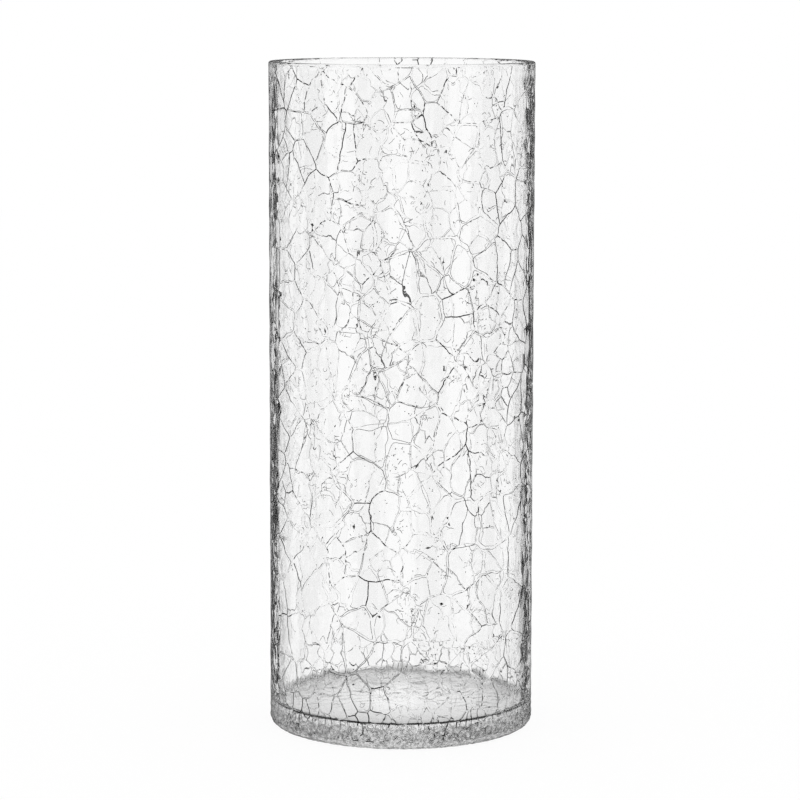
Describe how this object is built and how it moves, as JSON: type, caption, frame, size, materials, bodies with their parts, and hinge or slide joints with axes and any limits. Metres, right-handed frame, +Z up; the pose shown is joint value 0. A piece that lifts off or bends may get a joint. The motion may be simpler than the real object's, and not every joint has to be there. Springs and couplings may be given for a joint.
{
  "type": "glass cylinder vase",
  "caption": "Tall straight cylinder vase in clear crackle glass, with a heavy rounded base, an open mouth and a polished rim, for cut flowers and stems.",
  "frame": {"origin": "centre of the underside, on the surface that the vase stands on", "axes": "+Z up along the axis of the cylinder, from the base to the rim; X and Y are alike"},
  "size_m": [0.12, 0.12, 0.302],
  "materials": {
    "base_glass": "clear soda-lime glass, mould blown, crackled through",
    "wall_glass": "clear soda-lime glass, smooth, with a polished rim",
    "crackle_glass": "clear soda-lime glass, crackled by a quench and fire polished"
  },
  "bodies": {
    "root": {"heavy_base": "base_glass", "glass_wall": "wall_glass", "crackle_skin": "crackle_glass"}
  },
  "joints": []
}
